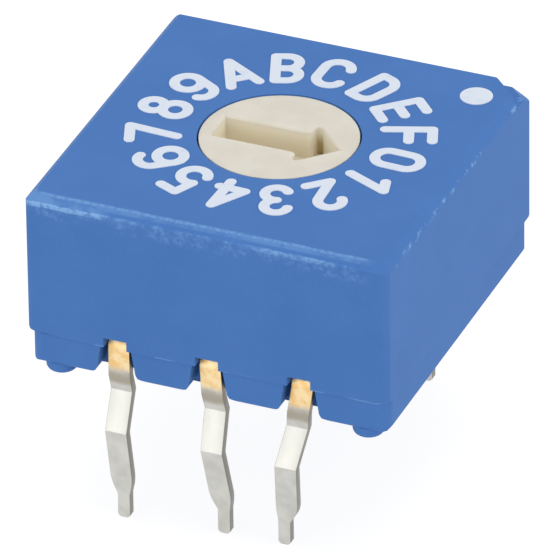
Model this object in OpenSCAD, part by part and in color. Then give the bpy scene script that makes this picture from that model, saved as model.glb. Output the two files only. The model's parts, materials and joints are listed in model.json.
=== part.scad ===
// Sealed sixteen-position binary coded rotary switch for through-hole mounting.
// Origin: centre of the footprint on the board surface that the standoffs rest on.
// +X points from the rotor's axis to position 0, +Z points up out of the board.

/* [Housing] */
// Width and depth of the square housing
body_w = 10; // [9.8:0.1:11]
// Height of the housing without its standoffs
body_h = 5; // [4.9:0.1:5.6]
// Height of the base, from its underside to the joint with the cover
base_h = 0.88; // [0.8:0.02:0.92]
// Thickness of the cover's side walls
wall = 0.7; // [0.6:0.02:0.72]
// Thickness of the cover's roof
roof = 0.75; // [0.65:0.05:0.85]
// Chamfer round the cover's top edge
edge_chamfer = 0.22; // [0.14:0.02:0.3]
// Radius of the cover's four upright edges
cover_corner_r = 0.2; // [0.1:0.05:0.3]
// Radius of the base's four upright edges
base_corner_r = 0.42; // [0.35:0.01:0.5]
// Chamfer round the base's bottom edge
base_chamfer = 0.08; // [0.05:0.01:0.12]
// How far the base's sides stand back from the cover's
base_inset = 0.05; // [0.02:0.01:0.08]
// Leg of the corner step that marks terminal 1, along the two top edges
index_step = 1.08; // [0.9:0.02:1.12]
// Depth of that step
index_step_drop = 0.33; // [0.25:0.01:0.38]
// Leg of the bevel below the step
index_bevel = 0.55; // [0.4:0.05:0.7]
// Height of the bevel below the step
index_bevel_drop = 0.47; // [0.35:0.01:0.55]

/* [Standoffs] */
// Height of the four standoffs under the base
standoff_h = 0.33; // [0.25:0.01:0.4]
// Diameter of a standoff
standoff_d = 0.84; // [0.7:0.02:0.9]
// Distance of a standoff's axis from the base's left or right side
standoff_inset_x = 0.7; // [0.6:0.02:0.8]
// Distance of a standoff's axis from the base's front or back
standoff_inset_y = 0.48; // [0.46:0.02:0.7]

/* [Rotor] */
// Diameter of the rotor where it shows in the window
rotor_d = 4.15; // [4.05:0.05:4.2]
// How far the rotor's face lies below the roof
rotor_sink = 0.02; // [0:0.01:0.1]
// Radial clearance between the rotor and the window
window_fit = 0.05; // [0.02:0.01:0.08]
// Depth of the arrow slot for the screwdriver
slot_depth = 0.8; // [0.7:0.05:0.85]
// Width of the arrow's shaft
shaft_w = 1.0; // [0.8:0.05:1.1]
// Width of the arrow's head over its barbs
head_w = 2.0; // [1.8:0.05:2.2]
// Distance from the axis back to the tail of the arrow
tail_x = 1.7; // [1.5:0.05:1.75]
// Distance from the axis to the barbs of the arrow
barb_x = 0.7; // [0.6:0.05:0.8]
// Distance from the axis to the tip of the arrow
tip_x = 1.66; // [1.5:0.02:1.7]
// Rounding of the two inner corners between shaft and head
slot_round = 0.15; // [0.1:0.01:0.2]
// Rounding of the arrow's two barbs
barb_round = 0.1; // [0.05:0.01:0.12]
// Diameter of the detent flange
flange_d = 6.4; // [6.2:0.05:6.5]
// Thickness of the detent flange
flange_t = 0.83; // [0.78:0.01:0.86]
// Diameter of the pivot pin under the rotor
pivot_d = 1.5; // [1.3:0.05:1.6]
// Radial clearance of the pivot pin in the base
pivot_fit = 0.05; // [0.02:0.01:0.08]

/* [Detent] */
// Radius of a detent scallop
scallop_r = 0.35; // [0.3:0.01:0.4]
// Depth of a detent scallop in the flange
scallop_depth = 0.15; // [0.1:0.01:0.18]
// Thickness of the detent leaf springs
leaf_t = 0.15; // [0.12:0.01:0.18]
// Width of the detent leaf springs
leaf_w = 0.6; // [0.5:0.05:0.65]
// Clearance between a spring's nose and its scallop
nose_fit = 0.03; // [0.02:0.01:0.04]

/* [Seal] */
// Thickness of the sealing ring's section
cord_d = 0.62; // [0.58:0.01:0.64]
// Diameter at the bottom of the rotor's ring groove
groove_d = 3.2; // [3.1:0.05:3.25]
// Clearance left round the sealing ring
ring_fit = 0.02; // [0.01:0.005:0.03]

/* [Code disc] */
// Diameter of the code disc
disc_d = 6.0; // [5.9:0.05:6.1]
// Thickness of the code disc
disc_t = 0.12; // [0.1:0.01:0.14]
// Thickness of the plated pattern under the code disc
pattern_t = 0.03; // [0.02:0.005:0.04]
// Radius of the common track, along the middle
common_track_r = 1.29; // [1.27:0.01:1.31]
// Radial distance from one track to the next
track_pitch = 0.35; // [0.34:0.005:0.36]
// Width of the plated link between two tracks
link_w = 0.07; // [0.05:0.01:0.09]

/* [Terminals] */
// Distance between neighbouring terminals in a row
pin_pitch = 2.54; // [2.5:0.01:2.54]
// Width of a terminal
pin_w = 0.6; // [0.5:0.02:0.62]
// Thickness of a terminal
pin_t = 0.25; // [0.2:0.01:0.26]
// Width of a terminal at its tip
tip_w = 0.34; // [0.3:0.02:0.44]
// How far a terminal's outer face stands back from the cover's side
pin_recess = 0.23; // [0.2:0.01:0.25]
// Length of the terminals below the board surface
pin_length = 4.05; // [3.4:0.05:4.5]
// Inner radius of the terminal's bend
pin_bend_r = 0.15; // [0.12:0.01:0.16]
// Height above the board at which the crimp begins
crimp_top_h = 0.23; // [0.1:0.01:0.28]
// Depth below the board of the crimp's inner corner
crimp_corner_d = 0.23; // [0.1:0.01:0.3]
// Inward set of that corner
crimp_in = 0.14; // [0.08:0.02:0.2]
// Depth below the board of the crimp's knee
knee_d = 1.27; // [1:0.01:1.4]
// Outward set of the knee
crimp_out = 0.31; // [0.2:0.01:0.36]
// Length of the narrow tip
tip_length = 0.7; // [0.5:0.05:0.9]
// Length of the taper above the tip
taper_length = 0.45; // [0.3:0.05:0.6]
// Inward set of the tip
tip_in = 0.27; // [0.1:0.01:0.3]
// Width of a terminal's pad inside the housing
pad_w = 0.9; // [0.8:0.02:1]
// Length of that pad
pad_length = 1.2; // [1.15:0.01:1.25]
// Thickness of the contact springs
spring_t = 0.08; // [0.06:0.01:0.09]
// Width of a contact spring on its terminal
spring_w = 0.42; // [0.36:0.02:0.46]
// Width of a contact spring's finger at the track
finger_w = 0.18; // [0.14:0.01:0.2]
// Clearance between a finger and the plated pattern
finger_fit = 0.02; // [0.01:0.005:0.03]

/* [Printing] */
// Thickness of the printed ink
ink_t = 0.02; // [0.01:0.005:0.03]
// Height of a printed character
char_h = 1.5; // [1.2:0.02:1.52]
// Width of a printed character
char_w = 0.98; // [0.86:0.02:1]
// Line width of a printed character
stroke = 0.28; // [0.2:0.01:0.3]
// Radius of the ring on which the characters are centred
char_ring_r = 3.28; // [3.25:0.01:3.4]
// Diameter of the dot that marks terminal 1
dot_d = 0.86; // [0.7:0.02:0.9]
// Distance of the dot's centre from the right side
dot_inset_x = 1.16; // [1.1:0.02:1.3]
// Distance of the dot's centre from the back
dot_inset_y = 1.28; // [1.2:0.02:1.4]
// How far the printing as a whole sits off the axis, towards the back
print_shift = 0.12; // [0:0.01:0.15]
// Angle by which the printing as a whole is turned clockwise
print_turn = 2.2; // [0:0.1:2.5]

/* [Hidden] */
$fn = 96;
eps = 0.01;
positions = 16;
step_deg = 360 / positions;

// Heights, from the board up
underside_z = standoff_h;
split_z = underside_z + base_h;
top_z = underside_z + body_h;
ceiling_z = top_z - roof;
rotor_top_z = top_z - rotor_sink;
slot_floor_z = rotor_top_z - slot_depth;
groove_web = 0.19;
groove_top_z = slot_floor_z - groove_web;
groove_bottom_z = groove_top_z - cord_d - 2 * ring_fit;
shoulder_t = 0.35;
flange_top_z = groove_bottom_z - shoulder_t;
flange_bottom_z = flange_top_z - flange_t;
disc_bottom_z = flange_bottom_z - disc_t;
pattern_bottom_z = disc_bottom_z - pattern_t;
pad_top_z = split_z + pin_t;
spring_top_z = pad_top_z + spring_t;
finger_top_z = pattern_bottom_z - finger_fit;
axial_fit = 0.05;
thrust_z = flange_top_z + axial_fit;

// Housing
half_w = body_w / 2;
base_half_w = half_w - base_inset;
cavity_half = half_w - wall;
locating_fit = 0.05;
seal_wall = 0.66;
boss_r = groove_d / 2 + cord_d + seal_wall;
seal_bore_r = groove_d / 2 + cord_d + 2 * ring_fit - eps;
window_r = rotor_d / 2 + window_fit;
pivot_floor_t = 0.3;
pivot_bore_r = pivot_d / 2 + pivot_fit;
bearing_wall = 0.5;
bearing_h = 0.4;
notch_fit = 0.02;
standoff_edge_r = 0.15;
standoff_x = base_half_w - standoff_inset_x;
standoff_y = base_half_w - standoff_inset_y;

// Terminal rows
pin_face_y = half_w - pin_recess;
bend_outer_r = pin_bend_r + pin_t;
bend_y = pin_face_y - bend_outer_r;
bend_z = pad_top_z - bend_outer_r;
pad_gap = 0.1;
pad_outer_y = cavity_half - pad_gap;
pad_inner_y = pad_outer_y - pad_length;
peg_r = 0.14;
peg_fit = 0.02;
peg_head_h = 0.1;
peg_inset = 0.32;
peg_y = pad_outer_y - peg_inset;
peg_to_weld = 0.43;
weld_y = peg_y - peg_to_weld;
weld_foot = 0.18;
weld_flat = 0.25;
neck_length = 0.5;
finger_tip = 0.12;
knee_z = -knee_d;
tip_top_z = tip_length - pin_length;
taper_top_z = tip_top_z + taper_length;
tip_corner = 0.07;
notch_gap = 0.12;
notch_half = pin_w / 2 + notch_gap;
notch_flare_r = 0.28;
notch_lean = 0.1;

// The six terminals. Row 1 is the back row, on the +Y side, and row -1 the front row.
// Each entry: label, column, row, track, angle of its finger's contact point, sideways
// set of the leg at the knee, sideways set at the tip, and outward set of the tip.
TERMINALS = [
    ["1", 1, 1, 4, 20, -0.12, -0.23, 0],
    ["2", 1, -1, 3, -25, -0.37, -0.69, -0.08],
    ["4", -1, 1, 2, 150, 0, 0, 0],
    ["8", -1, -1, 1, -140, 0, 0.04, 0.24],
    ["common_front", 0, -1, 0, -90, 0.12, 0.2, 0],
    ["common_back", 0, 1, 0, 90, 0, 0, 0]
];

// Detent springs
nose_relief = 0.02;
nose_r = scallop_r - nose_fit - nose_relief;
nose_x = flange_d / 2 - scallop_depth + nose_fit + nose_r;
nose_start_deg = 100;
nose_facets = 16;
leaf_gap = 0.35;
leaf_fit = 0.01;
leaf_x = cavity_half - leaf_gap;
leaf_end_y = cavity_half - leaf_gap;
leaf_straight = 0.95;
leaf_bend_y = leaf_end_y - leaf_straight;
leaf_z = (flange_bottom_z + flange_top_z - leaf_w) / 2;
post_w = 0.7;
post_l = 1.0;

// Square key between the rotor and the code disc
key_w = pivot_d;
key_fit = 0.03;

// ---------- shared shapes ----------

function unit(v) = v / norm(v);

function left_normal(a, b) = let (d = unit(b - a)) [-d.y, d.x];

// Mitred offset of a polyline's point i by t to its left
function offset_point(path, i, t) =
    let (last = len(path) - 1,
         n1 = i == 0 ? left_normal(path[0], path[1]) : left_normal(path[i - 1], path[i]),
         n2 = i == last ? n1 : left_normal(path[i], path[i + 1]))
    path[i] + (n1 + n2) * t / (1 + n1 * n2);

// Outline of a strip t thick that follows a path, the path being its right-hand face
function strip_outline(path, t) = concat(
    path,
    [for (i = [len(path) - 1 : -1 : 0]) offset_point(path, i, t)]);

module rounded_square(half, r) {
    square([2 * half, 2 * (half - r)], center = true);
    square([2 * (half - r), 2 * half], center = true);
    for (x = [-1, 1], y = [-1, 1])
        translate([x * (half - r), y * (half - r)])
            circle(r);
}

module ring_2d(r_outer, r_inner) {
    difference() {
        circle(r_outer);
        circle(r_inner);
    }
}

// Pie slice from angle a0 to a1, counter-clockwise, under 180 degrees wide per panel
module sector_2d(r, a0, a1) {
    panels = ceil((a1 - a0) / 45);
    reach = r / cos((a1 - a0) / panels / 2) + eps;
    polygon(concat(
        [[0, 0]],
        [for (i = [0 : panels])
            let (a = a0 + (a1 - a0) * i / panels)
            reach * [cos(a), sin(a)]]));
}

module at_pins() {
    for (column = [-1, 0, 1], side = [0, 180])
        rotate([0, 0, side])
            translate([column * pin_pitch, 0, 0])
                children();
}

// ---------- housing ----------

// Square bars that chamfer the four edges of a square slab's face at height z
module edge_chamfers(half, z, chamfer) {
    reach = chamfer * sqrt(2);
    for (a = [0 : 90 : 270])
        rotate([0, 0, a])
            translate([half, 0, z])
                rotate([0, 45, 0])
                    cube([reach, 2 * half + 1, reach], center = true);
}

// Everything beyond the plane that takes a leg off two level edges and a drop off the
// upright one, at the corner +X, +Y
module corner_plane_cut(leg, drop, z) {
    tilt = atan(leg / sqrt(2) / drop);
    side = 3 * index_step;
    translate([half_w - leg / 2, half_w - leg / 2, z])
        rotate([0, 0, 45])
            rotate([0, tilt - 90, 0])
                translate([side / 2, 0, 0])
                    cube([side, side, 2 * side], center = true);
}

// A step in the top corner with a bevelled ledge under it
module index_corner_cut() {
    ledge_z = top_z - index_step_drop;
    translate([half_w - index_step / 2, half_w - index_step / 2, ledge_z])
        rotate([0, 0, 45])
            translate([0, -half_w, 0])
                cube([half_w, body_w, body_h]);
    corner_plane_cut(index_bevel, index_bevel_drop, ledge_z);
}

module cover() {
    color("steelblue")
        difference() {
            translate([0, 0, split_z])
                linear_extrude(top_z - split_z)
                    rounded_square(half_w, cover_corner_r);
            edge_chamfers(half_w, top_z, edge_chamfer);
            index_corner_cut();
            difference() {
                translate([0, 0, split_z - 1])
                    linear_extrude(ceiling_z - split_z + 1)
                        square(2 * cavity_half, center = true);
                translate([0, 0, thrust_z])
                    cylinder(r = boss_r, h = top_z - thrust_z);
            }
            translate([0, 0, split_z])
                cylinder(r = window_r, h = body_h);
            translate([0, 0, split_z])
                cylinder(r = seal_bore_r, h = groove_top_z + ring_fit - split_z);
            at_pins()
                translate([-pin_w / 2 - notch_fit, cavity_half - eps, split_z - 1])
                    cube([pin_w + 2 * notch_fit, wall + 1, pin_t + notch_fit + 1]);
        }
}

module standoff() {
    r = standoff_d / 2;
    rotate_extrude()
        difference() {
            union() {
                translate([0, standoff_edge_r])
                    square([r, standoff_h + eps - standoff_edge_r]);
                square([r - standoff_edge_r, standoff_h]);
                translate([r - standoff_edge_r, standoff_edge_r])
                    circle(standoff_edge_r);
            }
            translate([-1, -1])
                square([1, 3]);
        }
}

// Opening in the base's side for one terminal, flared towards the board
module base_notch_2d() {
    lean_half = notch_half + notch_lean;
    flare_half = lean_half + notch_flare_r;
    flare_z = underside_z + notch_flare_r;
    translate([-notch_half, underside_z - 1])
        square([2 * notch_half, base_h + 2]);
    polygon([
        [-lean_half, underside_z - 1], [lean_half, underside_z - 1], [lean_half, flare_z],
        [notch_half, split_z], [-notch_half, split_z], [-lean_half, flare_z]
    ]);
    difference() {
        translate([-flare_half, underside_z - 1])
            square([2 * flare_half, 1 + notch_flare_r]);
        for (side = [-1, 1])
            translate([side * flare_half, underside_z + notch_flare_r])
                circle(notch_flare_r);
    }
}

module spring_post() {
    post_h = leaf_z + leaf_w - split_z;
    outer = cavity_half - locating_fit;
    slot_half = leaf_t / 2 + leaf_fit;
    difference() {
        translate([outer - post_w, outer - post_l, split_z - eps])
            cube([post_w, post_l, post_h + eps]);
        translate([leaf_x - slot_half, leaf_end_y + leaf_fit - 2 * post_l, leaf_z])
            cube([2 * slot_half, 2 * post_l, leaf_w + 1]);
    }
}

module base() {
    color("steelblue")
        difference() {
            union() {
                translate([0, 0, underside_z])
                    linear_extrude(base_h)
                        rounded_square(base_half_w, base_corner_r);
                translate([0, 0, split_z - eps])
                    cylinder(r = pivot_bore_r + bearing_wall, h = bearing_h + eps);
                for (x = [-1, 1], y = [-1, 1])
                    translate([x * standoff_x, y * standoff_y, 0])
                        standoff();
                for (x = [0, 1], y = [0, 1])
                    mirror([x, 0, 0])
                        mirror([0, y, 0])
                            spring_post();
                at_pins()
                    translate([0, peg_y, split_z - eps])
                        cylinder(r = peg_r, h = pin_t + peg_head_h + eps);
            }
            edge_chamfers(base_half_w, underside_z, base_chamfer);
            translate([0, 0, underside_z + pivot_floor_t])
                cylinder(r = pivot_bore_r, h = body_h);
            at_pins()
                translate([0, half_w + 1, 0])
                    rotate([90, 0, 0])
                        linear_extrude(half_w + 1 - bend_y + notch_fit)
                            base_notch_2d();
        }
}

// ---------- rotor ----------

module arrow_slot_2d() {
    side_angle = atan2(head_w / 2, tip_x - barb_x);
    round_reach = barb_round / tan((90 - side_angle) / 2);
    barb_back_y = head_w / 2 - round_reach;
    barb_side_x = barb_x + round_reach * cos(side_angle);
    barb_side_y = head_w / 2 - round_reach * sin(side_angle);
    difference() {
        union() {
            polygon([
                [-tail_x, -shaft_w / 2], [barb_x, -shaft_w / 2], [barb_x, -barb_back_y],
                [barb_side_x, -barb_side_y], [tip_x, 0], [barb_side_x, barb_side_y],
                [barb_x, barb_back_y], [barb_x, shaft_w / 2], [-tail_x, shaft_w / 2]
            ]);
            for (side = [-1, 1])
                translate([barb_x + barb_round, side * barb_back_y])
                    circle(barb_round);
            for (side = [-1, 1])
                translate([barb_x - slot_round, side * shaft_w / 2 + (side - 1) * slot_round / 2])
                    square(slot_round);
        }
        for (side = [-1, 1])
            translate([barb_x - slot_round, side * (shaft_w / 2 + slot_round)])
                circle(slot_round);
    }
}

module rotor() {
    stem_r = rotor_d / 2;
    shoulder_r = seal_bore_r - window_fit;
    color("cornsilk")
        difference() {
            union() {
                translate([0, 0, groove_top_z])
                    cylinder(r = stem_r, h = rotor_top_z - groove_top_z);
                translate([0, 0, flange_top_z])
                    cylinder(r = groove_d / 2, h = groove_top_z - flange_top_z + eps);
                translate([0, 0, flange_top_z - eps])
                    cylinder(r = shoulder_r, h = shoulder_t + eps);
                translate([0, 0, flange_bottom_z])
                    cylinder(r = flange_d / 2, h = flange_t);
                translate([0, 0, disc_bottom_z])
                    linear_extrude(disc_t + eps)
                        square(key_w, center = true);
                translate([0, 0, underside_z + pivot_floor_t + axial_fit])
                    cylinder(r = pivot_d / 2, h = flange_bottom_z - underside_z - pivot_floor_t);
            }
            translate([0, 0, slot_floor_z])
                linear_extrude(slot_depth + 1)
                    arrow_slot_2d();
            for (i = [0 : positions - 1])
                rotate([0, 0, i * step_deg])
                    translate([flange_d / 2 - scallop_depth + scallop_r, 0, flange_bottom_z - 1])
                        cylinder(r = scallop_r, h = flange_t + 1 + axial_fit / 2);
        }
}

module rotor_o_ring() {
    color("dimgray")
        translate([0, 0, (groove_top_z + groove_bottom_z) / 2])
            rotate_extrude()
                translate([groove_d / 2 + ring_fit / 2 + cord_d / 2, 0])
                    circle(cord_d / 2);
}

// ---------- code disc ----------

function track_r(track) = common_track_r + track * track_pitch;

// The value 0 or 1 that a bit has at a dial position
function bit_of(position, bit) = floor(position / pow(2, bit)) % 2;

// Track 1 carries bit 3 (weight 8) and track 4, the outermost, bit 0 (weight 1)
function track_bit(track) = 4 - track;

function finger_angle(track) = [for (t = TERMINALS) if (t[3] == track) t[4]][0];

module code_disc() {
    color("darkseagreen")
        translate([0, 0, disc_bottom_z])
            linear_extrude(disc_t)
                difference() {
                    circle(disc_d / 2);
                    square(key_w + 2 * key_fit, center = true);
                }
}

// Plated wherever a track's bit is 1 when that dial position stands at the pointer
module code_pattern() {
    band = track_pitch - link_w;
    color("gold")
        translate([0, 0, pattern_bottom_z])
            linear_extrude(pattern_t)
                union() {
                    ring_2d(common_track_r + track_pitch / 2 + link_w / 2, common_track_r - band / 2);
                    for (track = [1 : 4])
                        ring_2d(
                            track_r(track) + track_pitch / 2 + link_w / 2,
                            track_r(track) + track_pitch / 2 - link_w / 2);
                    for (track = [1 : 4], i = [0 : positions - 1])
                        if (bit_of(i, track_bit(track)) == 1)
                            intersection() {
                                ring_2d(
                                    track_r(track) + track_pitch / 2,
                                    track_r(track) - track_pitch / 2);
                                rotate([0, 0, finger_angle(track) - i * step_deg])
                                    sector_2d(disc_d / 2, -step_deg / 2 - eps, step_deg / 2 + eps);
                            }
                }
}

// ---------- detent springs ----------

// The face towards the rotor runs along one arm, round the nose and along the other arm
module leaf_2d() {
    inner_x = leaf_x - leaf_t / 2;
    nose = [
        for (a = [nose_start_deg : (360 - 2 * nose_start_deg) / nose_facets : 360 - nose_start_deg])
            [nose_x, 0] + nose_r * [cos(a), sin(a)]
    ];
    path = concat(
        [[inner_x, leaf_end_y], [inner_x, leaf_bend_y]],
        nose,
        [[inner_x, -leaf_bend_y], [inner_x, -leaf_end_y]]);
    polygon(strip_outline(path, leaf_t));
}

module detent_spring_right() {
    color("silver")
        translate([0, 0, leaf_z])
            linear_extrude(leaf_w)
                leaf_2d();
}

module detent_spring_left() {
    rotate([0, 0, 180])
        detent_spring_right();
}

// ---------- terminals ----------

// Side view of a terminal: x is the distance from the middle of the switch, y the height
module terminal_side_2d(tip_out) {
    tip_y = pin_face_y - tip_in + tip_out;
    leg = [
        [pin_face_y, bend_z + eps],
        [pin_face_y, crimp_top_h],
        [pin_face_y - crimp_in, -crimp_corner_d],
        [pin_face_y + crimp_out, knee_z],
        [tip_y, tip_top_z],
        [tip_y, -pin_length]
    ];
    polygon(strip_outline(leg, -pin_t));
    intersection() {
        translate([bend_y, bend_z])
            ring_2d(bend_outer_r, pin_bend_r);
        translate([bend_y, bend_z])
            square(bend_outer_r + 1);
    }
    translate([pad_inner_y, split_z])
        square([bend_y - pad_inner_y + eps, pin_t]);
}

// Front view of a leg: its sides lean from the straight part to the knee and the tip
module terminal_front_2d(knee_set, tip_set) {
    h = pin_w / 2;
    n = tip_w / 2;
    taper_set = tip_set + (knee_set - tip_set) * (taper_top_z + pin_length) / (knee_z + pin_length);
    polygon([
        [-h, pad_top_z], [-h, bend_z], [knee_set - h, knee_z], [taper_set - h, taper_top_z],
        [tip_set - n, tip_top_z],
        [tip_set - n, -pin_length + tip_corner], [tip_set - n + tip_corner, -pin_length],
        [tip_set + n - tip_corner, -pin_length], [tip_set + n, -pin_length + tip_corner],
        [tip_set + n, tip_top_z],
        [taper_set + h, taper_top_z], [knee_set + h, knee_z], [h, bend_z], [h, pad_top_z]
    ]);
}

// A terminal of the back row, at its column; the front row's are turned half round
module terminal_at(t) {
    row = t[2];
    wide = 2 * pin_pitch;
    color("gainsboro")
        translate([t[1] * pin_pitch, 0, 0])
            rotate([0, 0, row == 1 ? 0 : 180])
                difference() {
                    union() {
                        intersection() {
                            rotate([90, 0, 90])
                                translate([0, 0, -wide / 2])
                                    linear_extrude(wide)
                                        terminal_side_2d(t[7]);
                            translate([0, half_w + 1, 0])
                                rotate([90, 0, 0])
                                    linear_extrude(half_w + 1)
                                        terminal_front_2d(row * t[5], row * t[6]);
                        }
                        translate([-pad_w / 2, pad_inner_y, split_z])
                            cube([pad_w, pad_outer_y - pad_inner_y, pin_t]);
                    }
                    translate([0, peg_y, split_z - 1])
                        cylinder(r = peg_r + peg_fit, h = pin_t + 2);
                }
}

module terminal_1() { terminal_at(TERMINALS[0]); }
module terminal_2() { terminal_at(TERMINALS[1]); }
module terminal_4() { terminal_at(TERMINALS[2]); }
module terminal_8() { terminal_at(TERMINALS[3]); }
module terminal_common_front() { terminal_at(TERMINALS[4]); }
module terminal_common_back() { terminal_at(TERMINALS[5]); }

// ---------- contact springs ----------

// Side view of a contact spring that reaches a given length from its weld
module contact_side_2d(reach) {
    path = [
        [-weld_foot, spring_top_z],
        [weld_flat, spring_top_z],
        [reach - finger_tip / 2, finger_top_z],
        [reach + finger_tip / 2, finger_top_z],
        [reach + 1.5 * finger_tip, finger_top_z - finger_tip]
    ];
    polygon(strip_outline(path, -spring_t));
}

module contact_plan_2d(reach) {
    end = reach + 2 * finger_tip;
    neck = weld_flat + neck_length;
    polygon([
        [-weld_foot, -spring_w / 2], [weld_flat, -spring_w / 2], [neck, -finger_w / 2],
        [end, -finger_w / 2], [end, finger_w / 2], [neck, finger_w / 2],
        [weld_flat, spring_w / 2], [-weld_foot, spring_w / 2]
    ]);
}

// The foot lies on the terminal's pad and the finger points at its track
module contact_spring_at(t) {
    weld = [t[1] * pin_pitch, t[2] * weld_y];
    touch = track_r(t[3]) * [cos(t[4]), sin(t[4])];
    reach = norm(touch - weld);
    heading = atan2(touch.y - weld.y, touch.x - weld.x);
    color("gold")
        translate([weld.x, weld.y, 0])
            rotate([0, 0, heading])
                intersection() {
                    translate([0, spring_w, 0])
                        rotate([90, 0, 0])
                            linear_extrude(2 * spring_w)
                                contact_side_2d(reach);
                    linear_extrude(top_z)
                        contact_plan_2d(reach);
                }
}

module contact_spring_1() { contact_spring_at(TERMINALS[0]); }
module contact_spring_2() { contact_spring_at(TERMINALS[1]); }
module contact_spring_4() { contact_spring_at(TERMINALS[2]); }
module contact_spring_8() { contact_spring_at(TERMINALS[3]); }
module contact_spring_common_front() { contact_spring_at(TERMINALS[4]); }
module contact_spring_common_back() { contact_spring_at(TERMINALS[5]); }

// ---------- printing ----------

// Half sizes of a character's centre lines
gw = (char_w - stroke) / 2;
gh = (char_h - stroke) / 2;
// The upright of B, D, E and F stands a little nearer the middle than gw
stem_gw = gw * 0.75;

// Straight stroke from a to b with round ends
module bar(a, b) {
    d = b - a;
    translate(a)
        rotate([0, 0, atan2(d.y, d.x)])
            translate([0, -stroke / 2])
                square([norm(d), stroke]);
    for (p = [a, b])
        translate(p)
            circle(stroke / 2);
}

// Curved stroke about c from angle a0 to a1, counter-clockwise, with round ends
module bow(c, r, a0, a1) {
    translate(c)
        intersection() {
            ring_2d(r + stroke / 2, r - stroke / 2);
            sector_2d(r + stroke, a0, a1);
        }
    for (a = [a0, a1])
        translate(c + r * [cos(a), sin(a)])
            circle(stroke / 2);
}

module glyph_0() {
    bow([0, gh - gw], gw, 0, 180);
    bow([0, gw - gh], gw, 180, 360);
    bar([-gw, gw - gh], [-gw, gh - gw]);
    bar([gw, gw - gh], [gw, gh - gw]);
}

module glyph_1() {
    stem_x = gw / 6;
    bar([stem_x, -gh], [stem_x, gh]);
    bar([stem_x, gh], [-gw * 0.8, gh * 0.55]);
}

module glyph_2() {
    r = gw * 0.9;
    c = [0, gh - r];
    bow(c, r, -35, 175);
    bar(c + r * [cos(-35), sin(-35)], [-gw, -gh]);
    bar([-gw, -gh], [r, -gh]);
}

module glyph_3() {
    r = gh / 2;
    bow([0, r], r, -90, 165);
    bow([0, -r], r, -160, 90);
}

module glyph_4() {
    foot_x = gw / 2;
    cross_y = -gh / 2;
    bar([foot_x, -gh], [foot_x, gh]);
    bar([foot_x, gh], [-gw, cross_y]);
    bar([-gw, cross_y], [gw, cross_y]);
}

module glyph_5() {
    r = gw;
    c = [0, r - gh];
    start = c + r * [cos(130), sin(130)];
    bow(c, r, -150, 130);
    bar(start, [-gw * 0.6, gh]);
    bar([-gw * 0.6, gh], [gw * 0.9, gh]);
}

module glyph_6() {
    r = gw * 0.95;
    c = [gw / 10, gh - r];
    bow([0, gw - gh], gw, 0, 360);
    bow(c, r, 30, 180);
    bar([c.x - r, c.y], [-gw, gw - gh]);
}

module glyph_7() {
    bar([-gw, gh], [gw, gh]);
    bar([gw, gh], [-gw / 2, -gh]);
}

module glyph_8() {
    upper = gh * 0.46;
    lower = gh - upper;
    bow([0, gh - upper], upper, 0, 360);
    bow([0, lower - gh], lower, 0, 360);
}

module glyph_9() {
    rotate([0, 0, 180])
        glyph_6();
}

module glyph_A() {
    spread = gw * 1.1;
    cross_y = -gh * 0.45;
    cross_x = spread * (gh - cross_y) / (2 * gh);
    bar([-spread, -gh], [0, gh]);
    bar([spread, -gh], [0, gh]);
    bar([-cross_x, cross_y], [cross_x, cross_y]);
}

module glyph_B() {
    r = gh / 2;
    bar([-stem_gw, -gh], [-stem_gw, gh]);
    for (y = [-r, r])
        bow([gw - r, y], r, -90, 90);
    for (y = [-gh, 0, gh])
        bar([-stem_gw, y], [gw - r, y]);
}

module glyph_C() {
    bow([0, gh - gw], gw, 10, 180);
    bow([0, gw - gh], gw, 180, 340);
    bar([-gw, gw - gh], [-gw, gh - gw]);
}

module glyph_D() {
    bar([-stem_gw, -gh], [-stem_gw, gh]);
    bow([0, gh - gw], gw, 0, 90);
    bow([0, gw - gh], gw, 270, 360);
    bar([gw, gw - gh], [gw, gh - gw]);
    for (y = [-gh, gh])
        bar([-stem_gw, y], [0, y]);
}

module glyph_E() {
    bar([-stem_gw, -gh], [-stem_gw, gh]);
    for (y = [-gh, 0, gh])
        bar([-stem_gw, y], [gw * 0.9, y]);
}

module glyph_F() {
    bar([-stem_gw, -gh], [-stem_gw, gh]);
    for (y = [0, gh])
        bar([-stem_gw, y], [gw * 0.9, y]);
}

module glyph(i) {
    if (i == 0) glyph_0();
    if (i == 1) glyph_1();
    if (i == 2) glyph_2();
    if (i == 3) glyph_3();
    if (i == 4) glyph_4();
    if (i == 5) glyph_5();
    if (i == 6) glyph_6();
    if (i == 7) glyph_7();
    if (i == 8) glyph_8();
    if (i == 9) glyph_9();
    if (i == 10) glyph_A();
    if (i == 11) glyph_B();
    if (i == 12) glyph_C();
    if (i == 13) glyph_D();
    if (i == 14) glyph_E();
    if (i == 15) glyph_F();
}

// What one pass of printing lays on the cover, a little off its nominal place
module printed() {
    color("white")
        translate([0, print_shift, top_z])
            rotate([0, 0, -print_turn])
                children();
}

module dial_print() {
    printed()
        linear_extrude(ink_t)
            for (i = [0 : positions - 1])
                rotate([0, 0, -i * step_deg - 90])
                    translate([0, char_ring_r])
                        glyph(i);
}

module index_dot_print() {
    printed()
        translate([half_w - dot_inset_x, half_w - dot_inset_y, 0])
            cylinder(r = dot_d / 2, h = ink_t);
}

cover();
base();
rotor();
rotor_o_ring();
code_disc();
code_pattern();
detent_spring_right();
detent_spring_left();
terminal_1();
terminal_2();
terminal_4();
terminal_8();
terminal_common_front();
terminal_common_back();
contact_spring_1();
contact_spring_2();
contact_spring_4();
contact_spring_8();
contact_spring_common_front();
contact_spring_common_back();
dial_print();
index_dot_print();
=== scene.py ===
"""Looks of a sixteen-position coded rotary switch, dressed over its fixed frame."""

import json
import math

import bmesh
import bpy
from mathutils import Matrix, Vector

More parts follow.
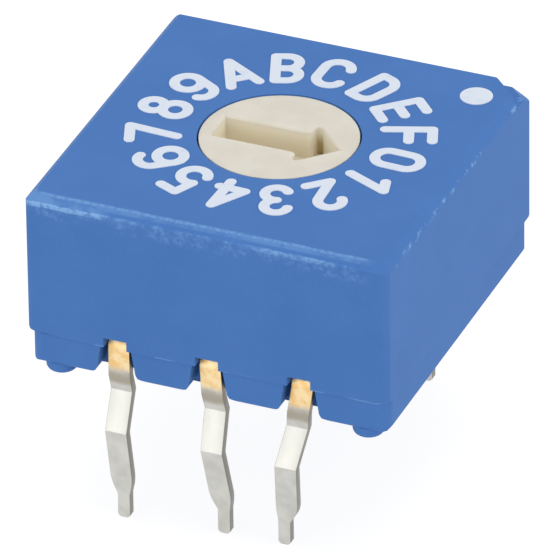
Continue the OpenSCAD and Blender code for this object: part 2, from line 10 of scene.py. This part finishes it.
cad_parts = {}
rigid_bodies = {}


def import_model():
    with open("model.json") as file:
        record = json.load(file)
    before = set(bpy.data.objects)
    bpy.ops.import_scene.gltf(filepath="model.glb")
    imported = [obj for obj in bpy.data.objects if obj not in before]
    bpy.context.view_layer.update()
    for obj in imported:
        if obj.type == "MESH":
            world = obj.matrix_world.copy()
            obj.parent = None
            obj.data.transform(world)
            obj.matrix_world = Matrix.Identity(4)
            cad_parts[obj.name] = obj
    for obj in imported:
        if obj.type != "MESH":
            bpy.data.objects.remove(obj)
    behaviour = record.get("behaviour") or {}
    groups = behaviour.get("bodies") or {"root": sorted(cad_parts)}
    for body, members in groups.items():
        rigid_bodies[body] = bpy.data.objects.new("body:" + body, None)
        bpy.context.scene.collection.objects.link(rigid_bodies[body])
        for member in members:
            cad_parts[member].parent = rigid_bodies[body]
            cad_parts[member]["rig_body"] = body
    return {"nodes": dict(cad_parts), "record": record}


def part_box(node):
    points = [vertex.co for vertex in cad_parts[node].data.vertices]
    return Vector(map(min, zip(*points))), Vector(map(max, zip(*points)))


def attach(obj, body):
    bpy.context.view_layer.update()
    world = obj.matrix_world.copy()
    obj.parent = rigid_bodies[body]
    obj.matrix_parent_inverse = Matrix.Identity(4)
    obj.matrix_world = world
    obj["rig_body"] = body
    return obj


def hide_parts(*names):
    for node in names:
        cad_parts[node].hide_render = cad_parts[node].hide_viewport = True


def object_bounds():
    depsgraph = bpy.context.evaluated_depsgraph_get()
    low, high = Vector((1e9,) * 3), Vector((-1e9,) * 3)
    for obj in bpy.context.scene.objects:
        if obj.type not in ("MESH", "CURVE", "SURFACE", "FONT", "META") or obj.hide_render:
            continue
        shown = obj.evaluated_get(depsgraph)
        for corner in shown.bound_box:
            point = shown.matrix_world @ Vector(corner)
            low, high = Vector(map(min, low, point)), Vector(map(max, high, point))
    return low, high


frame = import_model()
CAD_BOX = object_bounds()

MM = 0.001

# Places on the switch, from the frame
COVER_LOW, COVER_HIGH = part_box("cover")
BASE_LOW, BASE_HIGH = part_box("base")
ROTOR_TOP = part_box("rotor")[1].z
HALF = COVER_HIGH.x
TOP = COVER_HIGH.z
SPLIT = COVER_LOW.z
UNDERSIDE = 0.33 * MM
FLOOR_Z = CAD_BOX[0].z
TOP_CHAMFER = 0.22 * MM
INNER_EDGE = HALF - TOP_CHAMFER * 0.9
OUTER_EDGE = HALF + TOP_CHAMFER
WINDOW_RADIUS = 2.125 * MM
HEAD_RADIUS = 2.075 * MM


# ---------- shader maths ----------


class Value:
    """A shader socket that takes part in ordinary arithmetic."""

    def __init__(self, finish, socket):
        self.finish = finish
        self.socket = socket

    def _math(self, operation, *terms, clamp=False):
        settings = {"operation": operation, "use_clamp": clamp}
        return self.finish.node("ShaderNodeMath", settings, dict(enumerate(terms)))

    def __add__(self, other):
        return self._math("ADD", self, other)

    def __sub__(self, other):
        return self._math("SUBTRACT", self, other)

    def __mul__(self, other):
        return self._math("MULTIPLY", self, other)

    def __truediv__(self, other):
        return self._math("DIVIDE", self, other)

    def __rsub__(self, other):
        return self._math("SUBTRACT", other, self)

    def __abs__(self):
        return self._math("ABSOLUTE", self)

    __radd__ = __add__
    __rmul__ = __mul__

    def most(self, other):
        return self._math("MAXIMUM", self, other)

    def sine(self):
        return self._math("SINE", self)

    def clamped(self):
        return self._math("ADD", self, 0.0, clamp=True)

    def rise(self, low, high):
        """0 below low and 1 above high, with a smooth step between them."""
        settings = {"interpolation_type": "SMOOTHSTEP"}
        inputs = {"Value": self, "From Min": low, "From Max": high}
        return self.finish.node("ShaderNodeMapRange", settings, inputs)

    def fall(self, low, high):
        """1 below low and 0 above high."""
        return 1.0 - self.rise(low, high)


class Finish:
    """One material. Its shader's own sockets take the values that are the same all over."""

    def __init__(self, name, **constants):
        self.material = bpy.data.materials.new(name)
        self.material.use_nodes = True
        self.tree = self.material.node_tree
        self.shader = self.tree.nodes["Principled BSDF"]
        self.output = self.tree.nodes["Material Output"]
        for socket, value in constants.items():
            self.shader.inputs[socket.replace("_", " ")].default_value = value
        self.place = self.node("ShaderNodeTexCoord", output="Object")
        axes = self.node("ShaderNodeSeparateXYZ", inputs={"Vector": self.place}, output="X")
        outputs = axes.socket.node.outputs
        self.x, self.y, self.z = (Value(self, outputs[a]) for a in "XYZ")

    def node(self, kind, settings=None, inputs=None, output=0):
        """Adds a node: first its settings, then the values or links of its sockets."""
        made = self.tree.nodes.new(kind)
        for setting, value in (settings or {}).items():
            if setting == "stops":
                set_stops(made.color_ramp, value)
            else:
                setattr(made, setting, value)
        for key, value in (inputs or {}).items():
            self.feed(made.inputs[key], value)
        return Value(self, made.outputs[output])

    def feed(self, socket, value):
        if isinstance(value, Value):
            self.tree.links.new(value.socket, socket)
        else:
            socket.default_value = value

    def drive(self, **sockets):
        """Feeds the shader's sockets that change over the surface."""
        for socket, value in sockets.items():
            self.feed(self.shader.inputs[socket.replace("_", " ")], value)

    def noise(self, scale, detail=2.0, roughness=0.5, seed=0.0, stretch=None):
        """Noise from 0 to 1 whose grains are `scale` metres across."""
        place = self.place
        if stretch or seed:
            place = self.node(
                "ShaderNodeMapping",
                {"vector_type": "POINT"},
                {"Vector": place, "Location": (seed, seed, seed), "Scale": stretch or (1, 1, 1)},
            )
        inputs = {"Vector": place, "Scale": 1.0 / scale, "Detail": detail, "Roughness": roughness}
        return self.node("ShaderNodeTexNoise", {"noise_dimensions": "3D"}, inputs)

    def blend(self, low, high, factor):
        """Mix of two colours."""
        settings = {"data_type": "RGBA", "clamp_factor": True}
        inputs = {"Factor": factor, 6: low, 7: high}
        return self.node("ShaderNodeMix", settings, inputs, output=2)

    def bump(self, height, strength, distance):
        """Fine relief, `distance` metres deep."""
        inputs = {"Height": height, "Strength": strength, "Distance": distance}
        return self.node("ShaderNodeBump", None, inputs, output="Normal")


def set_stops(ramp, stops):
    """Gives a colour ramp its stops, each a position and a colour."""
    while len(ramp.elements) < len(stops):
        ramp.elements.new(1.0)
    for element, (position, colour) in zip(ramp.elements, stops):
        element.position = position
        element.color = colour


def paint(red, green, blue):
    """A colour from its display values, 0 to 255."""
    shares = [channel / 255 for channel in (red, green, blue)]
    linear = [s / 12.92 if s <= 0.04045 else ((s + 0.055) / 1.055) ** 2.4 for s in shares]
    return (*linear, 1.0)


# ---------- materials ----------

BLUE = paint(77, 122, 188)
BLUE_DARK = paint(71, 116, 181)
# Light blue of rubbed edges and flash, also used as painted highlight along the top chamfer's two
# edges
BLUE_WEAR_AND_HIGHLIGHT = paint(127, 171, 222)


def across_edge(finish):
    """Distance run from the middle of the top, over the chamfer and down the sides."""
    side = abs(finish.x).most(abs(finish.y))
    return side + (TOP - finish.z)


def line_at(value, place, width):
    """1 on a line where value is at place, and 0 beyond width."""
    return abs(value - place).fall(width * 0.3, width)


def towards_wall(value):
    """1 next to the wall that lies along a direction, and 0 over the rest of the top."""
    return value.rise(HALF * 0.9, HALF * 0.95)


def edge_wear_and_highlight(finish):
    """How far the blue is lightened along the two edges of the top chamfer: partly rubbed wear,
    partly painted highlight along those edges.
    """
    run = across_edge(finish)
    front = towards_wall(0.0 - finish.y)
    right = towards_wall(finish.x) * (1.0 - front)
    waves = finish.noise(0.5 * MM, detail=3.0, roughness=0.6)
    dashes = waves.rise(0.4, 0.6)
    specks = finish.noise(0.11 * MM, detail=2.0, seed=3.0).rise(0.36, 0.6)
    left_end = finish.x.fall(-3.3 * MM, -2.4 * MM)
    right_part = finish.x.rise(1.2 * MM, 1.8 * MM) * finish.x.fall(3.0 * MM, 3.8 * MM)
    before_corner = finish.x.fall(4.1 * MM, 4.7 * MM)
    drift = (waves - 0.5) * (0.12 * MM)
    # The light lines along the chamfer's two edges are partly painted highlight, standing in for the
    # glints of those rounded edges
    inner = line_at(run + drift, INNER_EDGE, 0.1 * MM) * (0.28 + specks * 0.3)
    inner = inner.most(line_at(run, INNER_EDGE + 0.08 * MM, 0.16 * MM) * (0.1 + dashes * 0.2))
    outer = line_at(run + drift, OUTER_EDGE, 0.12 * MM) * (0.3 + specks * 0.7)
    outer = outer * (left_end * 1.1 + right_part * 0.4 + dashes * 0.45)
    rubbed = abs(run - HALF).fall(0.1 * MM, 0.24 * MM) * left_end * (0.08 + dashes * 0.3)
    smears = line_at(run, OUTER_EDGE + 0.16 * MM, 0.3 * MM) * dashes * specks * 0.3
    front_wear = inner.most(outer).most(rubbed).most(smears) * before_corner
    flecks = specks * finish.noise(0.3 * MM, detail=2.0, seed=12.0).rise(0.52, 0.62)
    right_wear = line_at(run, OUTER_EDGE, 0.12 * MM) * flecks * 0.8
    return (front_wear * front + right_wear * right).clamped()


def parting_wear(finish):
    """Short light stretches of flash along the joint between cover and base."""
    front = towards_wall(0.0 - finish.y)
    stretches = finish.noise(0.45 * MM, detail=2.0, seed=7.0).rise(0.52, 0.62) * 0.4
    corner = finish.x.rise(3.8 * MM, 4.1 * MM) * 0.55
    return line_at(finish.z, SPLIT, 0.05 * MM) * stretches.most(corner) * (0.25 + front * 0.75)


def housing_plastic():
    finish = Finish("housing_blue", IOR=1.5, Specular_IOR_Level=0.08)
    cloud = finish.noise(1.6 * MM, detail=2.0)
    grain = finish.noise(0.07 * MM, detail=3.0, roughness=0.7, seed=1.0)
    tone = (cloud * 0.5 + grain * 0.5).rise(0.25, 0.75)
    # Rubbed edges and flash, with painted highlight along the top chamfer's edges
    wear_and_highlight = edge_wear_and_highlight(finish).most(parting_wear(finish))
    base = finish.blend(BLUE_DARK, BLUE, tone)
    finish.drive(
        Base_Color=finish.blend(base, BLUE_WEAR_AND_HIGHLIGHT, wear_and_highlight),
        Roughness=0.48 + grain * 0.12 + wear_and_highlight * 0.15,
        Normal=finish.bump(grain, 0.25, 0.004 * MM),
    )
    return finish.material


CREAM = paint(214, 208, 195)
CREAM_LIGHT = paint(219, 214, 202)
# Painted shade for the crease at each barb of the arrow
CREASE_SHADE = paint(178, 156, 110)
# Painted light in the slot: the depth that its walls are painted over, and their tones from the rim
# down, painted lighter and warmer with depth as a glow of light bounced and scattered inside the
# slot
PAINTED_LIGHT_DEPTH = 0.5 * MM
SLOT_PAINTED_GLOW = (
    (0.0, paint(224, 218, 205)),
    (0.25, paint(230, 223, 205)),
    (0.5, paint(231, 225, 203)),
    (1.0, paint(230, 221, 198)),
)
# Where the arrow's barbs are, off the rotor's axis
BARB_X = 0.79 * MM
BARB_TIP = 0.84 * MM


def barb_painted_shade(finish, depth):
    """Painted shade down the wall at each barb of the arrow, where the crease hides light."""
    reach = abs(finish.y)
    barb = reach.rise(BARB_TIP - 0.1 * MM, BARB_TIP) * reach.fall(0.95 * MM, 1.1 * MM)
    return barb * line_at(finish.x, BARB_X, 0.16 * MM) * depth.rise(0.15, 1.2)


def rotor_plastic():
    finish = Finish(
        "rotor_cream",
        IOR=1.5,
        Subsurface_Weight=0.25,
        Subsurface_Radius=(1.0, 0.7, 0.4),
        Subsurface_Scale=0.25 * MM,
    )
    cloud = finish.noise(0.9 * MM, detail=3.0)
    grain = finish.noise(0.08 * MM, detail=2.0, seed=2.0)
    depth = (ROTOR_TOP - finish.z) / PAINTED_LIGHT_DEPTH
    # Painted glow on the slot's walls, lighter and warmer with depth
    painted_glow = finish.node("ShaderNodeValToRGB", {"stops": SLOT_PAINTED_GLOW}, {"Fac": depth})
    face = finish.blend(CREAM, CREAM_LIGHT, cloud.rise(0.35, 0.65))
    body = finish.blend(face, painted_glow, depth.rise(0.06, 0.3))
    finish.drive(
        # Painted shade in the barbs' creases
        Base_Color=finish.blend(body, CREASE_SHADE, barb_painted_shade(finish, depth)),
        Roughness=0.4 + grain * 0.12,
        Normal=finish.bump(grain, 0.2, 0.004 * MM),
    )
    return finish.material


INK_THIN = paint(198, 211, 232)
INK_FULL = paint(216, 224, 237)


def printing_ink():
    finish = Finish("white_ink", IOR=1.45)
    pores = finish.noise(0.05 * MM, detail=2.0, seed=4.0)
    thin = finish.noise(0.3 * MM, detail=2.0, seed=5.0)
    cover = (pores * 0.5 + thin * 0.5).rise(0.25, 0.5)
    finish.drive(
        Base_Color=finish.blend(INK_THIN, INK_FULL, cover),
        Roughness=0.42 + pores * 0.16,
        Normal=finish.bump(pores, 0.3, 0.003 * MM),
    )
    return finish.material


TIN_DULL = paint(193, 192, 186)
TIN_BRIGHT = paint(209, 208, 203)
# Tin painted lighter where the leg faces up, a painted highlight from the light above
TIN_LIT_FROM_ABOVE = paint(221, 220, 213)
# Painted shade for the leg's side faces
TIN_SHADED_SIDE = paint(120, 116, 107)
# A darker band on each leg round the height of the base's underside, below the gold
TIN_DARK_BAND = paint(166, 160, 146)
GOLD_DEEP = paint(234, 194, 130)
# Pale gold of the painted glints on the contact end
GOLD_GLINT = paint(242, 217, 170)
# Heights over which the tin gives way to gold
GOLD_LOW = 0.36 * MM
GOLD_HIGH = 0.6 * MM


def leg_metal():
    """Tin on the leg, with the gold of the contact end showing above it."""
    finish = Finish("terminal_tin", Metallic=1.0, IOR=1.5)
    facing = finish.node("ShaderNodeTexCoord", output="Normal")
    facing = finish.node("ShaderNodeSeparateXYZ", inputs={"Vector": facing}, output="X")
    shaded_side = abs(facing).rise(0.5, 0.9)
    upward = Value(finish, facing.socket.node.outputs["Z"]).rise(0.1, 0.3)
    cloud = finish.noise(0.5 * MM, detail=3.0, roughness=0.55)
    rolled = finish.noise(0.05 * MM, detail=2.0, seed=6.0, stretch=(1.0, 1.0, 0.12))
    tide = finish.z + (cloud - 0.5) * (0.25 * MM)
    tin = finish.blend(TIN_DULL, TIN_BRIGHT, cloud.rise(0.3, 0.7))
    # Painted highlight: faces that turn upwards are painted lighter
    tin = finish.blend(tin, TIN_LIT_FROM_ABOVE, upward)
    # Darker band on the tin round the height of the base's underside
    dark_band = tide.rise(-0.1 * MM, 0.1 * MM) * tide.fall(0.2 * MM, GOLD_HIGH)
    tin = finish.blend(tin, TIN_DARK_BAND, dark_band)
    # Painted glints: pale spots scattered over the gold
    painted_glints = finish.noise(0.26 * MM, detail=3.0, seed=13.0).rise(0.36, 0.62)
    gold = finish.blend(GOLD_DEEP, GOLD_GLINT, painted_glints)
    metal = finish.blend(tin, gold, tide.rise(GOLD_LOW, GOLD_HIGH))
    finish.drive(
        # Painted shade: the faces turned sideways are painted darker
        Base_Color=finish.blend(metal, TIN_SHADED_SIDE, shaded_side * 0.85),
        Roughness=0.3 + rolled * 0.08 + cloud * 0.08 + upward * 0.15,
        Normal=finish.bump(rolled, 0.25, 0.004 * MM),
    )
    return finish.material


def plated_gold():
    finish = Finish("gold_plating", Metallic=1.0)
    cloud = finish.noise(0.2 * MM, detail=3.0)
    rolled = finish.noise(0.04 * MM, detail=2.0, seed=9.0)
    finish.drive(
        Base_Color=finish.blend(paint(222, 176, 92), paint(244, 205, 126), cloud),
        Roughness=0.22 + cloud * 0.14,
        Normal=finish.bump(rolled, 0.2, 0.003 * MM),
    )
    return finish.material


def spring_strip():
    finish = Finish("spring_steel", Metallic=1.0)
    cloud = finish.noise(0.3 * MM, detail=2.0)
    rolled = finish.noise(0.03 * MM, detail=2.0, seed=10.0, stretch=(1.0, 0.1, 1.0))
    finish.drive(
        Base_Color=finish.blend(paint(176, 176, 178), paint(202, 203, 205), cloud),
        Roughness=0.24 + rolled * 0.2,
        Normal=finish.bump(rolled, 0.25, 0.003 * MM),
    )
    return finish.material


THREAD_PITCH = 0.18 * MM


def disc_laminate():
    finish = Finish("laminate")
    thread = 2 * math.pi / THREAD_PITCH
    weave = (finish.x * thread).sine() * (finish.y * thread).sine() * 0.5 + 0.5
    finish.drive(
        Base_Color=finish.blend(paint(66, 108, 70), paint(92, 134, 86), weave),
        Roughness=0.4 + weave * 0.15,
        Normal=finish.bump(weave, 0.2, 0.004 * MM),
    )
    return finish.material


def seal_rubber():
    finish = Finish("seal_rubber")
    bloom = finish.noise(0.25 * MM, detail=3.0)
    grain = finish.noise(0.03 * MM, detail=2.0, seed=11.0)
    finish.drive(
        Base_Color=finish.blend(paint(38, 38, 40), paint(56, 56, 58), bloom),
        Roughness=0.48 + grain * 0.2,
        Normal=finish.bump(grain, 0.3, 0.003 * MM),
    )
    return finish.material


MATERIALS = {
    "housing_blue": housing_plastic(),
    "rotor_cream": rotor_plastic(),
    "seal_rubber": seal_rubber(),
    "laminate": disc_laminate(),
    "gold_plating": plated_gold(),
    "spring_steel": spring_strip(),
    "terminal_tin": leg_metal(),
    "white_ink": printing_ink(),
}
SLOT_OF = {part["node"]: part["material_slot"] for part in frame["record"]["subparts"]}


def dress(piece, slot):
    """Gives a piece its finish."""
    piece.data.materials.clear()
    piece.data.materials.append(MATERIALS[slot])


# ---------- pieces ----------

MERGE = 0.0005 * MM
FLAT = math.radians(0.6)
SHARP = math.radians(28)
SHADED_SHARP = math.radians(35)


def merged_copy(node):
    """The CAD node's form as one merged mesh with whole flat faces."""
    form = bmesh.new()
    form.from_mesh(frame["nodes"][node].data)
    bmesh.ops.remove_doubles(form, verts=form.verts, dist=MERGE)
    bmesh.ops.dissolve_limit(form, angle_limit=FLAT, verts=form.verts, edges=form.edges)
    return form


def off_axis(place):
    return math.hypot(place.x, place.y)


def round_out(form, radius, cuts):
    """Adds points along the chords of a circle about the switch's axis, and sets them on it."""

    def is_chord(edge):
        level = abs(edge.verts[0].co.z - edge.verts[1].co.z) < MERGE
        return level and all(abs(off_axis(v.co) - radius) < 0.002 * MM for v in edge.verts)

    chords = [edge for edge in form.edges if is_chord(edge)]
    made = bmesh.ops.subdivide_edges(form, edges=chords, cuts=cuts, use_grid_fill=False)
    for vert in made["geom_inner"]:
        if isinstance(vert, bmesh.types.BMVert):
            place = (vert.co * Vector((1, 1, 0))).normalized() * radius
            vert.co = Vector((place.x, place.y, vert.co.z))


def soften(form, radius, segments=3, chosen=None, slide=False):
    """Rounds the sharp edges, or the chosen ones among them."""
    sharp = [e for e in form.edges if e.is_manifold and e.calc_face_angle() > SHARP]
    if chosen:
        sharp = [e for e in sharp if all(chosen(v.co) for v in e.verts)]
    round_edges(form, sharp, radius, segments, slide)


def round_edges(form, edges, radius, segments, slide):
    """Rounds these edges. Sliding corners suit the thin legs, but fold the mouldings' wide faces."""
    bmesh.ops.bevel(
        form,
        geom=edges,
        offset=radius,
        offset_type="OFFSET",
        affect="EDGES",
        segments=segments,
        profile=0.5,
        clamp_overlap=True,
        loop_slide=slide,
        material=-1,
    )


def make_piece(name, form, node):
    """Makes the form a piece, which stands for the node and rides where the node does."""
    mesh = bpy.data.meshes.new(name)
    form.to_mesh(mesh)
    form.free()
    mesh.shade_smooth()
    mesh.set_sharp_from_angle(angle=SHADED_SHARP)
    piece = bpy.data.objects.new(name, mesh)
    bpy.context.scene.collection.objects.link(piece)
    evened = piece.modifiers.new("evened", "WEIGHTED_NORMAL")
    evened.mode = "FACE_AREA"
    evened.weight = 100
    evened.keep_sharp = True
    dress(piece, SLOT_OF[node])
    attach(piece, frame["nodes"][node]["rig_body"])
    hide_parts(node)


def off_middle(place):
    """How far out towards a corner of the square a place is."""
    return abs(place.x) + abs(place.y)


def near(value, place):
    return abs(value - place) < 0.01 * MM


def cover_moulding():
    """Blue shell, roundest at its lower corners, then at the index corner and round the top."""
    form = merged_copy("cover")
    round_out(form, WINDOW_RADIUS, cuts=3)
    corner = HALF * 2 - 0.22 * MM
    index_corner = 8.3 * MM
    index_low = TOP - 0.9 * MM
    top_low = TOP - 0.6 * MM
    soften(form, 0.12 * MM, chosen=lambda p: near(p.z, SPLIT) and off_middle(p) > corner)
    soften(form, 0.1 * MM, chosen=lambda p: p.z > index_low and p.x > 0 and p.x + p.y > index_corner)
    soften(form, 0.07 * MM, chosen=lambda p: p.z > top_low)
    soften(form, 0.035 * MM)
    make_piece("cover_moulding", form, "cover")


def base_moulding():
    """Blue base, rounder under its front and back edges and round its foot than elsewhere."""
    form = merged_copy("base")
    rows = 3.9 * MM
    low = UNDERSIDE + 0.3 * MM
    outside = 4.9 * MM
    soften(form, 0.08 * MM, chosen=lambda p: near(p.z, UNDERSIDE) and abs(p.y) > rows)
    soften(form, 0.06 * MM, chosen=lambda p: p.z < low and off_axis(p) > outside)
    soften(form, 0.025 * MM, segments=2)
    make_piece("base_moulding", form, "base")


def rotor_moulding():
    """Cream rotor, with a soft rim round the arrow slot."""
    form = merged_copy("rotor")
    round_out(form, HEAD_RADIUS, cuts=3)
    rim = HEAD_RADIUS - 0.02 * MM
    soften(form, 0.09 * MM, chosen=lambda p: near(p.z, ROTOR_TOP) and off_axis(p) < rim)
    soften(form, 0.05 * MM)
    make_piece("rotor_moulding", form, "rotor")


# An edge that runs through a leg's thickness is no longer than this, and turns by no less
LONGEST_THROUGH = 0.34 * MM
LEAST_TURN = math.radians(8)


def ease_turns(form, low, high, radius):
    """Rounds the turns of a leg's outline between two heights, through its thickness."""

    def is_turn(edge):
        run = edge.verts[1].co - edge.verts[0].co
        within = all(low < v.co.z < high for v in edge.verts)
        through = run.length < LONGEST_THROUGH and abs(run.y) > run.length * 0.6
        return within and through and edge.calc_face_angle() > LEAST_TURN

    round_edges(form, [e for e in form.edges if is_turn(e)], radius, 4, slide=True)


def leg(node):
    """Flat strip of a leg, with eased bends and rolled edges."""
    form = merged_copy(node)
    outside = [v for v in form.verts if v.co.z < 0.0]
    bmesh.ops.remove_doubles(form, verts=outside, dist=0.05 * MM)
    ease_turns(form, FLOOR_Z + 0.8 * MM, -0.1 * MM, 0.2 * MM)
    soften(form, 0.03 * MM, segments=2, slide=True)
    make_piece(node + "_strip", form, node)


cover_moulding()
base_moulding()
rotor_moulding()
for name in SLOT_OF:
    if name.startswith("terminal_"):
        leg(name)
for name, node in frame["nodes"].items():
    dress(node, SLOT_OF[name])


# ---------- camera ----------

AZIMUTH = math.radians(22.83)
ELEVATION = math.radians(31.761)
ROLL = math.radians(-0.773)
AIM = Vector((2.69 * MM, -6.473 * MM, TOP))
DISTANCE = 283.257 * MM
FOCAL_PIXELS = 11270.0
FRAME_PIXELS = 560
SENSOR = 36.0


def view_camera():
    """Long-lens camera, aimed by its turn round the switch, its height and its roll."""
    back = Vector(
        (
            math.sin(AZIMUTH) * math.cos(ELEVATION),
            -math.cos(AZIMUTH) * math.cos(ELEVATION),
            math.sin(ELEVATION),
        )
    )
    level = Vector((math.cos(AZIMUTH), math.sin(AZIMUTH), 0.0))
    upright = back.cross(level)
    right = level * math.cos(ROLL) + upright * math.sin(ROLL)
    up = upright * math.cos(ROLL) - level * math.sin(ROLL)
    data = bpy.data.cameras.new("camera")
    data.sensor_width = SENSOR
    data.lens = FOCAL_PIXELS / FRAME_PIXELS * SENSOR
    data.clip_start = 0.01
    data.clip_end = 10.0
    camera = bpy.data.objects.new("camera", data)
    bpy.context.scene.collection.objects.link(camera)
    turn = Matrix((right, up, back)).transposed()
    camera.matrix_world = Matrix.Translation(AIM + back * DISTANCE) @ turn.to_4x4()
    bpy.context.scene.camera = camera


# ---------- stage ----------

PAPER_TONE = (0.78, 0.78, 0.78, 1.0)
PAPER_GLOW = 1.2
PAPER_GLOW_SHARE = 0.72
FLOOR_RADIUS = 0.6


def stage_floor():
    """Pale floor under the legs' tips, which keeps the switch's shadow."""
    form = bmesh.new()
    bmesh.ops.create_circle(form, cap_ends=True, segments=96, radius=FLOOR_RADIUS)
    bmesh.ops.translate(form, verts=form.verts, vec=(0, 0, FLOOR_Z))
    mesh = bpy.data.meshes.new("floor")
    form.to_mesh(mesh)
    form.free()
    floor = bpy.data.objects.new("floor", mesh)
    bpy.context.scene.collection.objects.link(floor)
    finish = Finish("floor_paper", Roughness=0.9, Specular_IOR_Level=0.0)
    finish.shader.inputs["Base Color"].default_value = PAPER_TONE
    camera_ray = finish.node("ShaderNodeLightPath", output="Is Camera Ray")
    rays = camera_ray.socket.node.outputs
    mirrored = Value(finish, rays["Is Glossy Ray"]) + Value(finish, rays["Is Transmission Ray"])
    seen = (camera_ray + mirrored).clamped()
    paper = Value(finish, finish.shader.outputs[0])
    white = finish.node("ShaderNodeEmission", None, {"Strength": PAPER_GLOW})
    inputs = {0: seen * PAPER_GLOW_SHARE, 1: paper, 2: white}
    finish.feed(finish.output.inputs["Surface"], finish.node("ShaderNodeMixShader", None, inputs))
    floor.data.materials.append(finish.material)


def soft_lamp(name, place, size, strength):
    """Square softbox of a plain brightness, facing the switch."""
    data = bpy.data.lights.new(name, "AREA")
    data.shape = "SQUARE"
    data.size = size
    data.energy = strength * math.pi * size * size
    lamp = bpy.data.objects.new(name, data)
    bpy.context.scene.collection.objects.link(lamp)
    lamp.location = Vector(place)
    lamp.rotation_euler = (-lamp.location).to_track_quat("-Z", "Y").to_euler()


LAMP_SIZE = 0.16
WORLD_STRENGTH = 0.75


def studio():
    """An even white room with three softboxes."""
    world = bpy.data.worlds.new("studio")
    bpy.context.scene.world = world
    world.use_nodes = True
    background = world.node_tree.nodes["Background"]
    background.inputs["Color"].default_value = (1.0, 1.0, 1.0, 1.0)
    background.inputs["Strength"].default_value = WORLD_STRENGTH
    soft_lamp("overhead", (0.02, 0.03, 0.22), LAMP_SIZE, 1.5)
    soft_lamp("front", (-0.09, -0.25, 0.05), LAMP_SIZE, 2.1)
    soft_lamp("side", (0.26, -0.03, 0.04), LAMP_SIZE, 2.1)


view_camera()
stage_floor()
studio()
bpy.context.scene.view_settings.view_transform = "Standard"
